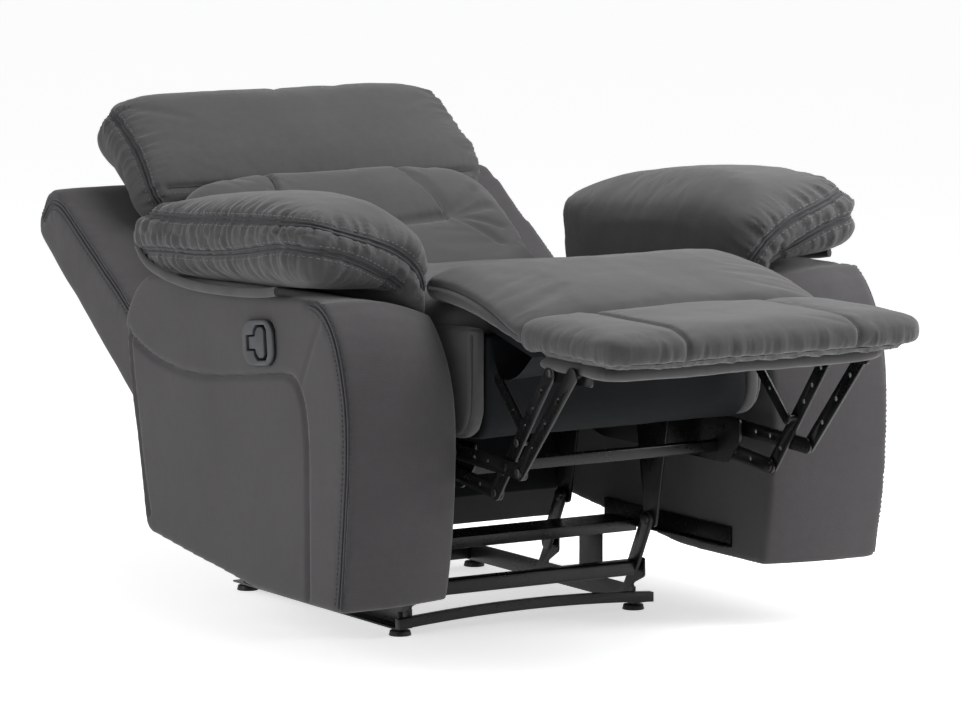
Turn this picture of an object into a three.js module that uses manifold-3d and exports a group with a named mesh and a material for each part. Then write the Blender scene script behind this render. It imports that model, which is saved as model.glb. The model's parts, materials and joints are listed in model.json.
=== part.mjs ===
// Recliner armchair with a cable-released footrest, modelled fully reclined with the footrest out.
// Millimetres, +Z up. The sitter faces -Y and the sitter's left side is +X. The origin is on the
// floor, under the middle of the reclined chair.
import * as THREE from "three";
import { mergeVertices } from "three/addons/utils/BufferGeometryUtils.js";
import Module from "manifold-3d";

const wasm = await Module();
wasm.setup();

// ------------------------------------------------------------------ driving dimensions
const GAP = 0.3; // clearance between touching pieces

const ARM_OUTER_X = 490; // half the width over the arm panels
const ARM_INNER_X = 287; // half the width between the arms
const PANEL = 18; // arm panel thickness
const INNER_PANEL = 16;
const ARM_BOTTOM_Z = 104;
const ARM_FRONT_TOP = [-262, 569]; // y, z where the front curve meets the arm top
const ARM_REAR_TOP = [238, 548];

const FOOT_X = 217;
const FOOT_Y = [-65, 415];
const RAIL_X = 205; // inner face of the floor rails
const RAIL_TOP_Z = 42;

const SEAT_FRONT_Y = -351;
const SEAT_REAR_Y = 90;
const SEAT_RAIL_TOP_Z = 455;
const SEAT_PLATE_X = 239;
const SEAT_SIDE_X = [238, 268]; // inner and outer faces of the padded seat sides
const STEEL = 4; // thickness of the steel links and plates

// Pivots, each a (y, z) point on the side view.
const point = (y, z) => new THREE.Vector2(y, z);
const FRONT_CARRIER_LOW = point(-98, 75);
const FRONT_CARRIER_HIGH = point(-140, 158);
const REAR_CARRIER_LOW = point(152, 80);
const REAR_CARRIER_HIGH = point(110, 163);
const BACK_HINGE = point(184, 316);
const REAR_LINK_PIVOT = point(-257.3, 285.4);
const FRONT_LINK_PIVOT = point(-292.1, 319.4);
const KNEE = point(-398.4, 270.5);
const FOOTREST_PIVOT = point(-547, 466);
const SCISSOR_PIVOT = point(-431.1, 313.5);
const FRONT_LINK_END = point(-480.5, 311.4);
const BRACKET_PIVOT = point(-621.2, 471.1);
const CALF_LINK_PIVOT = point(-460.8, 352.6);
const CALF_LINK_END = point(-375, 436);
const CALF_HINGE = point(-338, 497);

const BACK_SLOPE = THREE.MathUtils.degToRad(36.2); // the reclined back above the horizontal
const CALF_SLOPE = THREE.MathUtils.degToRad(14); // the calf pad below the horizontal
const HANDLE_TILT = THREE.MathUtils.degToRad(-6.3);
const HANDLE_CENTRE = point(-117, 481);

// ------------------------------------------------------------------ finishes
const FINISHES = {
  upholstery: { color: 0x4b494a, roughness: 0.9, metalness: 0 },
  lining: { color: 0x1d1f21, roughness: 0.95, metalness: 0 },
  blackSteel: { color: 0x121314, roughness: 0.4, metalness: 0.6 },
  plastic: { color: 0x2b2c2f, roughness: 0.5, metalness: 0 },
  rubber: { color: 0x101010, roughness: 0.9, metalness: 0 },
};

const chair = new THREE.Group();

function addPart(name, geometry, finish) {
  const part = new THREE.Mesh(geometry, new THREE.MeshStandardMaterial(FINISHES[finish]));
  part.name = name;
  chair.add(part);
}

// ------------------------------------------------------------------ shaping helpers
// Carries a shape drawn on (y, z) and extruded along its own third axis to the side view.
const SIDE_VIEW = new THREE.Matrix4().makeBasis(
  new THREE.Vector3(0, 1, 0),
  new THREE.Vector3(0, 0, 1),
  new THREE.Vector3(1, 0, 0),
);

// A flat piece between two x values, from its (y, z) outline.
function plate(shape, xFrom, xTo) {
  const low = Math.min(xFrom, xTo);
  const depth = Math.abs(xTo - xFrom);
  const geometry = new THREE.ExtrudeGeometry(shape, { depth, bevelEnabled: false, curveSegments: 4 });
  return geometry.applyMatrix4(SIDE_VIEW).translate(low, 0, 0);
}

function block(xFrom, xTo, yFrom, yTo, zFrom, zTo) {
  const geometry = new THREE.BoxGeometry(Math.abs(xTo - xFrom), yTo - yFrom, zTo - zFrom);
  return geometry.translate((xFrom + xTo) / 2, (yFrom + yTo) / 2, (zFrom + zTo) / 2);
}

// A round bar along X through the point `at`.
function crossBar(xFrom, xTo, at, radius, sides = 12) {
  const geometry = new THREE.CylinderGeometry(radius, radius, Math.abs(xTo - xFrom), sides);
  return geometry.rotateZ(Math.PI / 2).translate((xFrom + xTo) / 2, at.x, at.y);
}

function upright(x, y, zFrom, zTo, radiusLow, radiusHigh = radiusLow, sides = 16) {
  const geometry = new THREE.CylinderGeometry(radiusHigh, radiusLow, zTo - zFrom, sides);
  return geometry.rotateX(Math.PI / 2).translate(x, y, (zFrom + zTo) / 2);
}

// A polygon whose corners are rounded by `radius`.
function roundedShape(corners, radius) {
  const shape = new THREE.Shape();
  corners.forEach((corner, index) => {
    const before = corners[(index + corners.length - 1) % corners.length];
    const after = corners[(index + 1) % corners.length];
    const enter = before.clone().sub(corner).setLength(radius).add(corner);
    const leave = after.clone().sub(corner).setLength(radius).add(corner);
    if (index === 0) {
      shape.moveTo(enter.x, enter.y);
    } else {
      shape.lineTo(enter.x, enter.y);
    }
    shape.quadraticCurveTo(corner.x, corner.y, leave.x, leave.y);
  });
  shape.closePath();
  return shape;
}

// A steel link outline: a round end at each pivot, with stamped holes at the given fractions.
function linkShape(from, to, halfWidth, holes = []) {
  const run = to.clone().sub(from);
  const across = run.angle() + Math.PI / 2;
  const shape = new THREE.Shape();
  shape.absarc(from.x, from.y, halfWidth, across, across + Math.PI, false);
  shape.absarc(to.x, to.y, halfWidth, across + Math.PI, across + 2 * Math.PI, false);
  for (const fraction of holes) {
    const centre = from.clone().lerp(to, fraction);
    shape.holes.push(new THREE.Path().absarc(centre.x, centre.y, halfWidth / 3, 0, 2 * Math.PI, true));
  }
  return shape;
}

// A plain cushion: a ball pressed towards its box, from 2, an ellipsoid, to 8, nearly a box.
function pillow(halfX, halfY, halfZ, squareness) {
  const geometry = new THREE.SphereGeometry(1, 24, 12);
  const position = geometry.attributes.position;
  for (let index = 0; index < position.count; index += 1) {
    const spot = new THREE.Vector3().fromBufferAttribute(position, index);
    const sum =
      Math.abs(spot.x) ** squareness + Math.abs(spot.y) ** squareness + Math.abs(spot.z) ** squareness;
    spot.multiplyScalar(sum ** (-1 / squareness));
    position.setXYZ(index, spot.x * halfX, spot.y * halfY, spot.z * halfZ);
  }
  geometry.computeVertexNormals();
  return geometry;
}

function solidOf(geometry) {
  const bare = geometry.clone();
  bare.deleteAttribute("normal");
  bare.deleteAttribute("uv");
  const merged = mergeVertices(bare, 1e-4);
  const vertProperties = new Float32Array(merged.attributes.position.array);
  const triVerts = new Uint32Array(merged.index.array);
  return new wasm.Manifold(new wasm.Mesh({ numProp: 3, vertProperties, triVerts }));
}

function geometryOf(solid) {
  const mesh = solid.getMesh();
  const geometry = new THREE.BufferGeometry();
  geometry.setAttribute("position", new THREE.BufferAttribute(mesh.vertProperties, 3));
  geometry.setIndex(new THREE.BufferAttribute(mesh.triVerts, 1));
  geometry.computeVertexNormals();
  return geometry;
}

function join(first, ...others) {
  return geometryOf(others.reduce((sum, other) => sum.add(solidOf(other)), solidOf(first)));
}

function cut(first, ...others) {
  return geometryOf(others.reduce((rest, other) => rest.subtract(solidOf(other)), solidOf(first)));
}

const SIDES = [
  ["left", 1],
  ["right", -1],
];

// ------------------------------------------------------------------ floor frame
// Two pressed-steel rails lie on four screwed glides and carry the pivots of both pairs of carriers.
function floorRail(sign) {
  const web = block(sign * RAIL_X, sign * (RAIL_X + 3), FOOT_Y[0] - 17, FOOT_Y[1] + 17, 12, RAIL_TOP_Z);
  const flange = block(sign * RAIL_X, sign * (RAIL_X + 30), FOOT_Y[0] - 17, FOOT_Y[1] + 17, 12, 15);
  const ears = [FRONT_CARRIER_LOW, REAR_CARRIER_LOW].map((pivot) =>
    plate(
      roundedShape(
        [
          point(pivot.x + 18, 13),
          point(pivot.x + 60, 13),
          point(pivot.x + 15, pivot.y + 15),
          point(pivot.x - 15, pivot.y + 15),
          point(pivot.x - 15, pivot.y - 15),
          point(pivot.x + 18, 45),
        ],
        5,
      ),
      sign * RAIL_X,
      sign * (RAIL_X + 3),
    ),
  );
  const post = block(sign * RAIL_X, sign * (RAIL_X + 3), 10, 75, 14, 112);
  const holes = FOOT_Y.map((y) => upright(sign * FOOT_X, y, 5, 20, 5));
  return cut(join(web, flange, ...ears, post), ...holes);
}

function glide(sign, y) {
  const x = sign * FOOT_X;
  const disc = upright(x, y, 0, 8, 18, 16);
  const collar = upright(x, y, 7, 12 - GAP, 7);
  const stud = upright(x, y, 11, 36, 4);
  const nut = upright(x, y, 15 + GAP, 21, 8, 8, 6);
  return join(disc, collar, stud, nut);
}

for (const [side, sign] of SIDES) {
  addPart(`floor_rail_${side}`, floorRail(sign), "blackSteel");
  addPart(`glide_front_${side}`, glide(sign, FOOT_Y[0]), "rubber");
  addPart(`glide_rear_${side}`, glide(sign, FOOT_Y[1]), "rubber");
}

// The front bar bows up between the glides; it is drawn on (x, z) and stands just ahead of the rails.
function bowedBar() {
  const halfWidth = FOOT_X + 19;
  const shape = new THREE.Shape();
  shape.moveTo(-halfWidth, 14);
  shape.quadraticCurveTo(0, 34, halfWidth, 14);
  shape.lineTo(halfWidth, 30);
  shape.quadraticCurveTo(0, 50, -halfWidth, 30);
  shape.closePath();
  const geometry = new THREE.ExtrudeGeometry(shape, { depth: 13, bevelEnabled: false, curveSegments: 10 });
  return geometry.rotateX(Math.PI / 2).translate(0, FOOT_Y[0] - 17 - GAP, 0);
}

addPart("front_cross_bar", bowedBar(), "blackSteel");
const BETWEEN_RAILS_X = RAIL_X - GAP;
const REAR_BAR_Y = FOOT_Y[1] - 10;
const rearBar = block(-BETWEEN_RAILS_X, BETWEEN_RAILS_X, REAR_BAR_Y, REAR_BAR_Y + 20, 15, 40);
addPart("rear_cross_bar", rearBar, "blackSteel");

// A channel across both rails ends in two angle irons, which the arms are screwed to.
const ANGLE_IRON_X = 270;
const stretcherOutline = new THREE.Shape([
  point(5, 112 + GAP),
  point(9, 112 + GAP),
  point(9, 126),
  point(76, 126),
  point(76, 112 + GAP),
  point(80, 112 + GAP),
  point(80, 130),
  point(5, 130),
]);
const stretcher = join(
  plate(stretcherOutline, -(ANGLE_IRON_X - GAP), ANGLE_IRON_X - GAP),
  block(-ANGLE_IRON_X + 20, ANGLE_IRON_X - 20, 8, 77, 122, 128),
);
addPart("arm_stretcher", stretcher, "blackSteel");

for (const [side, sign] of SIDES) {
  const outerX = ARM_INNER_X - GAP;
  const upstand = block(sign * (outerX - STEEL), sign * outerX, -240, 120, 118, 150);
  const foot = block(sign * ANGLE_IRON_X, sign * outerX, -240, 120, 118, 122);
  addPart(`arm_angle_iron_${side}`, join(upstand, foot), "blackSteel");
}

// ------------------------------------------------------------------ arms
// Each arm is a box of boards: an outer and an inner side, a bent front, and a top that turns down
// into the rear. The front edge swells forward before it curls over into the top.
const [FRONT_TOP_Y, FRONT_TOP_Z] = ARM_FRONT_TOP;
const [REAR_TOP_Y, REAR_TOP_Z] = ARM_REAR_TOP;

function drawFrontCurve(shape, inset) {
  shape.quadraticCurveTo(-376 + inset, 230, -378 + inset, 345);
  shape.bezierCurveTo(-378 + inset, 430, -350 + inset, 548 - inset, FRONT_TOP_Y, FRONT_TOP_Z - inset);
}

function armSideShape() {
  const shape = new THREE.Shape();
  shape.moveTo(-350, ARM_BOTTOM_Z);
  drawFrontCurve(shape, 0);
  shape.lineTo(REAR_TOP_Y, REAR_TOP_Z);
  shape.quadraticCurveTo(288, 524, 316, 470);
  shape.lineTo(296, 350);
  shape.lineTo(256, 168);
  shape.quadraticCurveTo(252, 148, 232, 146);
  shape.lineTo(-90, 106);
  shape.closePath();
  return shape;
}

// The inner side sits lower in front, where the arm rolls over to the seat.
function armInnerShape() {
  const shape = new THREE.Shape();
  shape.moveTo(-342, ARM_BOTTOM_Z);
  shape.quadraticCurveTo(-352, 230, -353, 330);
  shape.bezierCurveTo(-353, 430, -330, 530, -200, 538);
  shape.lineTo(232, 528);
  shape.lineTo(296, 466);
  shape.lineTo(277, 350);
  shape.lineTo(240, 170);
  shape.lineTo(226, 146);
  shape.lineTo(-90, 106);
  shape.closePath();
  return shape;
}

function armFrontShape() {
  const shape = new THREE.Shape();
  shape.moveTo(-350, ARM_BOTTOM_Z);
  drawFrontCurve(shape, 0);
  shape.lineTo(FRONT_TOP_Y, FRONT_TOP_Z - PANEL);
  shape.bezierCurveTo(-350 + PANEL, 548 - PANEL, -378 + PANEL, 430, -378 + PANEL, 345);
  shape.quadraticCurveTo(-376 + PANEL, 230, -350 + PANEL, ARM_BOTTOM_Z);
  shape.closePath();
  return shape;
}

function armTopShape() {
  const shape = new THREE.Shape();
  shape.moveTo(FRONT_TOP_Y + GAP, FRONT_TOP_Z);
  shape.lineTo(REAR_TOP_Y, REAR_TOP_Z);
  shape.quadraticCurveTo(288, 524, 316, 470);
  shape.lineTo(296, 350);
  shape.lineTo(256, 168);
  shape.lineTo(256 - PANEL, 172);
  shape.lineTo(296 - PANEL, 353);
  shape.lineTo(316 - PANEL, 466);
  shape.quadraticCurveTo(272, 514, REAR_TOP_Y - 6, REAR_TOP_Z - PANEL);
  shape.lineTo(FRONT_TOP_Y + GAP, FRONT_TOP_Z - PANEL);
  shape.closePath();
  return shape;
}

// Geometry drawn level round the handle's middle is turned and carried to its place.
const atHandle = (geometry) =>
  geometry.rotateX(HANDLE_TILT).translate(0, HANDLE_CENTRE.x, HANDLE_CENTRE.y);

function rectangle(halfY, halfZ, radius) {
  return roundedShape(
    [point(-halfY, -halfZ), point(halfY, -halfZ), point(halfY, halfZ), point(-halfY, halfZ)],
    radius,
  );
}

for (const [side, sign] of SIDES) {
  const innerFace = sign * (ARM_INNER_X + INNER_PANEL + GAP);
  const outerFace = sign * (ARM_OUTER_X - PANEL - GAP);
  let outerPanel = plate(armSideShape(), sign * (ARM_OUTER_X - PANEL), sign * ARM_OUTER_X);
  if (side === "right") {
    outerPanel = cut(outerPanel, atHandle(plate(rectangle(43, 33, 16), -500, -460)));
  }
  addPart(`arm_outer_panel_${side}`, outerPanel, "upholstery");
  const innerPanel = plate(armInnerShape(), sign * ARM_INNER_X, sign * (ARM_INNER_X + INNER_PANEL));
  addPart(`arm_inner_panel_${side}`, innerPanel, "upholstery");
  addPart(`arm_front_panel_${side}`, plate(armFrontShape(), innerFace, outerFace), "upholstery");
  addPart(`arm_top_and_rear_${side}`, plate(armTopShape(), innerFace, outerFace), "upholstery");
}

// The loose-looking arm pads lie along the arm tops and overhang them on both sides.
const PAD_SLOPE = THREE.MathUtils.degToRad(-2.4);
for (const [side, sign] of SIDES) {
  const pad = pillow(118, 259, 67, 3.4).rotateX(PAD_SLOPE).translate(sign * 396, -3, 633);
  addPart(`arm_pad_${side}`, pad, "upholstery");
}

// ------------------------------------------------------------------ release handle
// A moulded cup let into the outer face of the right arm, with a pull lever turning on an upright pin
// at the rear of the cup, and a cable from the cup down to the floor rail.
const CUP_FACE_X = -(ARM_OUTER_X + GAP);
const CUP_FLOOR_X = -462;
const housing = cut(
  join(
    plate(rectangle(46, 35, 24), CUP_FACE_X - 4, CUP_FACE_X),
    plate(rectangle(42, 32, 15), CUP_FACE_X - 1, CUP_FLOOR_X),
  ),
  plate(rectangle(38, 28, 12), CUP_FACE_X - 10, CUP_FLOOR_X - 4),
);
addPart("handle_housing", atHandle(housing), "plastic");

const LEVER_PIN_Y = 31; // behind the middle of the cup
const LEVER_PIN_X = -485;
const LEVER_X = [-493, -488]; // the flat of the lever, proud of the cup's floor
const lever = join(
  plate(rectangle(7, 23, 6), ...LEVER_X).translate(0, -16, 0),
  plate(rectangle(24, 8, 3), ...LEVER_X).translate(0, 10, 0),
  block(LEVER_X[0] + 1, LEVER_PIN_X, LEVER_PIN_Y - 6, LEVER_PIN_Y + 2, -8, 8),
  upright(LEVER_PIN_X, LEVER_PIN_Y, -25, 25, 3.5),
);
addPart("handle_lever", atHandle(lever), "plastic");

const cableRoute = new THREE.CatmullRomCurve3([
  new THREE.Vector3(CUP_FLOOR_X + 0.5, -117, 481),
  new THREE.Vector3(-440, -116, 478),
  new THREE.Vector3(-400, -100, 425),
  new THREE.Vector3(-385, -72, 325),
  new THREE.Vector3(-372, -45, 215),
  new THREE.Vector3(-345, -30, 128),
  new THREE.Vector3(-318, -20, 90),
  new THREE.Vector3(-285, -15, 80),
  new THREE.Vector3(-245, -5, 74),
  new THREE.Vector3(-222, 15, 67),
  new THREE.Vector3(-213, 30, 62),
]);
const CABLE_RADIUS = 3;
const cableSection = new THREE.Shape();
cableSection.absarc(0, 0, CABLE_RADIUS, 0, 2 * Math.PI, false);
const cable = new THREE.ExtrudeGeometry(cableSection, {
  steps: 44,
  curveSegments: 4,
  extrudePath: cableRoute,
});
addPart("release_cable", cable, "plastic");

// ------------------------------------------------------------------ carriers
// Two parallel pairs of links carry the seat on the floor rails, so it swings back and down as the
// chair is brought upright. The front pair turns together on a cross tube.
const CARRIER_X = 190;
const CARRIER_THICKNESS = 6;

function carrier(sign, low, high) {
  const inner = sign * CARRIER_X;
  const outer = sign * (CARRIER_X + CARRIER_THICKNESS);
  return join(
    plate(linkShape(low, high, 13), inner, outer),
    crossBar(sign * (CARRIER_X + 3), sign * (RAIL_X - GAP), low, 7),
    crossBar(sign * (CARRIER_X - 5), sign * (CARRIER_X + 3), high, 9),
  );
}

for (const [side, sign] of SIDES) {
  addPart(`front_carrier_${side}`, carrier(sign, FRONT_CARRIER_LOW, FRONT_CARRIER_HIGH), "blackSteel");
  addPart(`rear_carrier_${side}`, carrier(sign, REAR_CARRIER_LOW, REAR_CARRIER_HIGH), "blackSteel");
}

function squareTube(halfLength, at, halfSide, radius) {
  const corners = [
    point(at.x - halfSide, at.y - halfSide),
    point(at.x + halfSide, at.y - halfSide),
    point(at.x + halfSide, at.y + halfSide),
    point(at.x - halfSide, at.y + halfSide),
  ];
  return plate(roundedShape(corners, radius), -halfLength, halfLength);
}

addPart("carrier_cross_tube", squareTube(CARRIER_X - GAP, FRONT_CARRIER_LOW, 12, 5), "blackSteel");

// ------------------------------------------------------------------ seat
// A steel side plate hangs a bracket down to each carrier and reaches back to the recline hinge.
const BRACKET_X = 198;
const SEAT_PLATE_TOP_Z = 336;

function carrierBracket(sign, pivot) {
  const outline = [
    point(pivot.x - 50, 330),
    point(pivot.x + 42, 330),
    point(pivot.x + 15, pivot.y - 13),
    point(pivot.x - 15, pivot.y - 13),
  ];
  return plate(roundedShape(outline, 9), sign * BRACKET_X, sign * (BRACKET_X + STEEL));
}

function seatPlate(sign) {
  const outline = [
    point(-326, SEAT_PLATE_TOP_Z),
    point(-326, 300),
    point(-290, 262),
    point(60, 262),
    point(BACK_HINGE.x + 4, BACK_HINGE.y - 22),
    point(BACK_HINGE.x + 22, BACK_HINGE.y + 2),
    point(BACK_HINGE.x + 12, SEAT_PLATE_TOP_Z),
  ];
  return join(
    plate(roundedShape(outline, 8), sign * SEAT_PLATE_X, sign * (SEAT_PLATE_X + STEEL)),
    block(sign * BRACKET_X, sign * (SEAT_PLATE_X + 1), -190, 152, 324, 328),
    carrierBracket(sign, FRONT_CARRIER_HIGH),
    carrierBracket(sign, REAR_CARRIER_HIGH),
  );
}

// The upholstered side of the seat box, with its front lower corner well rounded.
function seatSideShape() {
  const shape = new THREE.Shape();
  shape.moveTo(SEAT_REAR_Y, SEAT_PLATE_TOP_Z + GAP);
  shape.lineTo(SEAT_REAR_Y, SEAT_RAIL_TOP_Z);
  shape.lineTo(SEAT_FRONT_Y, SEAT_RAIL_TOP_Z);
  shape.lineTo(SEAT_FRONT_Y, 380);
  shape.quadraticCurveTo(SEAT_FRONT_Y + 2, SEAT_PLATE_TOP_Z + GAP, SEAT_FRONT_Y + 40, SEAT_PLATE_TOP_Z + GAP);
  shape.closePath();
  return shape;
}

for (const [side, sign] of SIDES) {
  addPart(`seat_plate_${side}`, seatPlate(sign), "blackSteel");
  const sideRail = plate(seatSideShape(), sign * SEAT_SIDE_X[0], sign * SEAT_SIDE_X[1]);
  addPart(`seat_side_rail_${side}`, sideRail, "upholstery");
}
const seatFront = roundedShape(
  [
    point(SEAT_FRONT_Y, SEAT_PLATE_TOP_Z + 1),
    point(SEAT_FRONT_Y + 20, SEAT_PLATE_TOP_Z + 1),
    point(SEAT_FRONT_Y + 20, 500),
    point(SEAT_FRONT_Y, 500),
  ],
  6,
);
const BETWEEN_SIDES_X = SEAT_SIDE_X[0] - 0.5;
addPart("seat_front_rail", plate(seatFront, -BETWEEN_SIDES_X, BETWEEN_SIDES_X), "lining");

// Five zigzag springs between two tie bars.
function zigzagSpring(x) {
  const pitch = 20;
  const sweep = 25;
  const wire = 10; // across the slant, so about 4 mm through
  const turns = 20;
  const near = [];
  const far = [];
  for (let turn = 0; turn <= turns; turn += 1) {
    const reach = turn % 2 === 0 ? -sweep : sweep;
    near.push(new THREE.Vector2(x + reach + wire, -320 + turn * pitch));
    far.unshift(new THREE.Vector2(x + reach, -320 + turn * pitch));
  }
  const outline = new THREE.Shape([...near, ...far]);
  const geometry = new THREE.ExtrudeGeometry(outline, { depth: 4, bevelEnabled: false });
  return geometry.translate(0, 0, 445);
}

const springs = join(
  block(-237, 237, -330, -312, 443, 451),
  block(-237, 237, 72, 88, 430, 452),
  ...[-180, -90, 0, 90, 180].map(zigzagSpring),
);
addPart("seat_springs", springs, "blackSteel");
const seatCushion = pillow(264, 214, 51, 6).translate(0, -113, SEAT_RAIL_TOP_Z + GAP + 52);
addPart("seat_cushion", seatCushion, "upholstery");

// ------------------------------------------------------------------ back
// The back is laid out on its own slope: `along` runs up the back from the hinge and `outward` runs
// from the hinge towards the sitter.
function onBack(along, outward) {
  return point(along, outward).rotateAround(point(0, 0), BACK_SLOPE).add(BACK_HINGE);
}

const leanBack = (geometry) =>
  geometry.rotateX(BACK_SLOPE).translate(0, BACK_HINGE.x, BACK_HINGE.y);

const BOARD_OUTWARD = -128;
const BOARD_THICKNESS = 14;
const WING_BACK = BOARD_OUTWARD + BOARD_THICKNESS + GAP;
const boardCorners = [
  onBack(85, BOARD_OUTWARD),
  onBack(85, WING_BACK - GAP),
  onBack(618, WING_BACK - GAP),
  onBack(612, BOARD_OUTWARD),
];
addPart("back_board", plate(new THREE.Shape(boardCorners), -413, 413), "upholstery");

function wingShape() {
  const corners = [
    onBack(96, WING_BACK),
    onBack(160, -22),
    onBack(316, -17),
    onBack(598, -38),
    onBack(624, -56),
    onBack(618, WING_BACK),
  ];
  return roundedShape(corners, 9);
}

function backBracketShape() {
  return roundedShape(
    [
      onBack(-14, 10),
      onBack(14, 12),
      onBack(120, -48),
      onBack(330, WING_BACK + 14),
      onBack(330, WING_BACK),
      onBack(150, WING_BACK),
      onBack(-10, -14),
    ],
    6,
  );
}

for (const [side, sign] of SIDES) {
  addPart(`back_wing_${side}`, plate(wingShape(), sign * 300, sign * 415), "upholstery");
  const bracket = join(
    plate(backBracketShape(), sign * (SEAT_PLATE_X - 6), sign * (SEAT_PLATE_X - 2)),
    crossBar(sign * (SEAT_PLATE_X - 9), sign * (SEAT_PLATE_X - 4), BACK_HINGE, 9),
  );
  addPart(`back_bracket_${side}`, bracket, "blackSteel");
}

const lumbar = pillow(280, 217, 55, 5).translate(0, 253, 45);
addPart("lumbar_cushion", leanBack(lumbar), "upholstery");
const headrest = pillow(322, 114, 54, 5).translate(0, 588, 42);
addPart("headrest_cushion", leanBack(headrest), "upholstery");

// ------------------------------------------------------------------ footrest linkage
// Four links a side fold like scissors. Each lies in its own plane outside the seat plate, from the
// rear link, next to the plate, to the inner link, next to the arm.
const PLANE_PITCH = 5;
const linkPlane = (number) => SEAT_PLATE_X + PLANE_PITCH * number;
const LINK_HALF_WIDTH = 12;

function link(sign, plane, from, to, holes, bosses) {
  const flat = plate(
    linkShape(from, to, LINK_HALF_WIDTH, holes),
    sign * linkPlane(plane),
    sign * (linkPlane(plane) + STEEL),
  );
  const pins = bosses.map(([at, radius, start, end]) => crossBar(sign * start, sign * end, at, radius));
  return join(flat, ...pins);
}

for (const [side, sign] of SIDES) {
  const rearPins = [
    [REAR_LINK_PIVOT, 8, linkPlane(1) + 2, linkPlane(1) + 6],
    [KNEE, 8, linkPlane(1) - 3, linkPlane(1) + 2],
  ];
  addPart(`rear_link_${side}`, link(sign, 1, REAR_LINK_PIVOT, KNEE, [0.35, 0.65], rearPins), "blackSteel");

  const outerPins = [
    [FOOTREST_PIVOT, 8, linkPlane(2) + 2, linkPlane(2) + 6],
    [CALF_LINK_PIVOT, 5, SEAT_PLATE_X - 4, linkPlane(2) + 1],
  ];
  const outerHoles = [0.15, 0.56, 0.7, 0.85];
  addPart(`outer_link_${side}`, link(sign, 2, KNEE, FOOTREST_PIVOT, outerHoles, outerPins), "blackSteel");

  const frontPins = [
    [FRONT_LINK_PIVOT, 7, SEAT_PLATE_X + STEEL + GAP, linkPlane(3) + 6],
    [SCISSOR_PIVOT, 7, linkPlane(3) + 2, linkPlane(3) + 6],
  ];
  const frontLink = link(sign, 3, FRONT_LINK_PIVOT, FRONT_LINK_END, [0.3, 0.5], frontPins);
  addPart(`front_link_${side}`, frontLink, "blackSteel");

  const innerPins = [[FRONT_LINK_END, 8, linkPlane(4) + 2, linkPlane(4) + 7]];
  const innerHoles = [0.25, 0.5, 0.75];
  const innerLink = link(sign, 4, FRONT_LINK_END, BRACKET_PIVOT, innerHoles, innerPins);
  addPart(`inner_link_${side}`, innerLink, "blackSteel");

  const calfLink = plate(
    linkShape(CALF_LINK_PIVOT, CALF_LINK_END, 9, [0.5]),
    sign * (SEAT_PLATE_X - 9),
    sign * (SEAT_PLATE_X - 5),
  );
  addPart(`calf_link_${side}`, calfLink, "blackSteel");
}
const linkTube = squareTube(SEAT_PLATE_X - GAP, REAR_LINK_PIVOT, 9, 3);
addPart("link_cross_tube", linkTube, "blackSteel");

// ------------------------------------------------------------------ footrest
const FOOTREST_BOARD_Z = [470, 484];

function footrestBracket(sign) {
  const outline = [
    point(FOOTREST_PIVOT.x + 13, 482),
    point(FOOTREST_PIVOT.x + 13, 452),
    point(BRACKET_PIVOT.x - 30, 456),
    point(BRACKET_PIVOT.x - 30, 482),
  ];
  const side = plate(roundedShape(outline, 6), sign * linkPlane(1), sign * (linkPlane(1) + STEEL));
  const flange = block(
    sign * 212,
    sign * (linkPlane(1) + 1),
    BRACKET_PIVOT.x - 24,
    FOOTREST_PIVOT.x + 8,
    FOOTREST_BOARD_Z[0] - 4,
    FOOTREST_BOARD_Z[0] - GAP,
  );
  const stub = crossBar(sign * (linkPlane(1) + 2), sign * (linkPlane(4) - 0.5), BRACKET_PIVOT, 5);
  return join(side, flange, stub);
}

for (const [side, sign] of SIDES) {
  addPart(`footrest_bracket_${side}`, footrestBracket(sign), "blackSteel");
}
addPart("footrest_board", block(-240, 240, -735, -505, ...FOOTREST_BOARD_Z), "lining");
const footrestPad = pillow(271, 125.5, 32, 6).translate(0, -622.5, FOOTREST_BOARD_Z[1] + GAP + 32);
addPart("footrest_pad", footrestPad, "upholstery");

// ------------------------------------------------------------------ calf flap
// A narrow padded board between the seat and the footrest, hinged under the front of the seat.
const onCalf = (geometry) =>
  geometry.rotateX(CALF_SLOPE).translate(0, CALF_HINGE.x, CALF_HINGE.y);
addPart("calf_board", onCalf(block(-236, 236, -136, -14, 15, 27)), "lining");
const calfPad = pillow(268, 61, 26, 5).translate(0, -75, 27 + GAP + 26);
addPart("calf_pad", onCalf(calfPad), "upholstery");

export default chair;
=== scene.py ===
import json
import math

import bmesh
import bpy
from mathutils import Matrix, Vector, noise
from mathutils.bvhtree import BVHTree
from mathutils.geometry import interpolate_bezier
from mathutils.kdtree import KDTree


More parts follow.
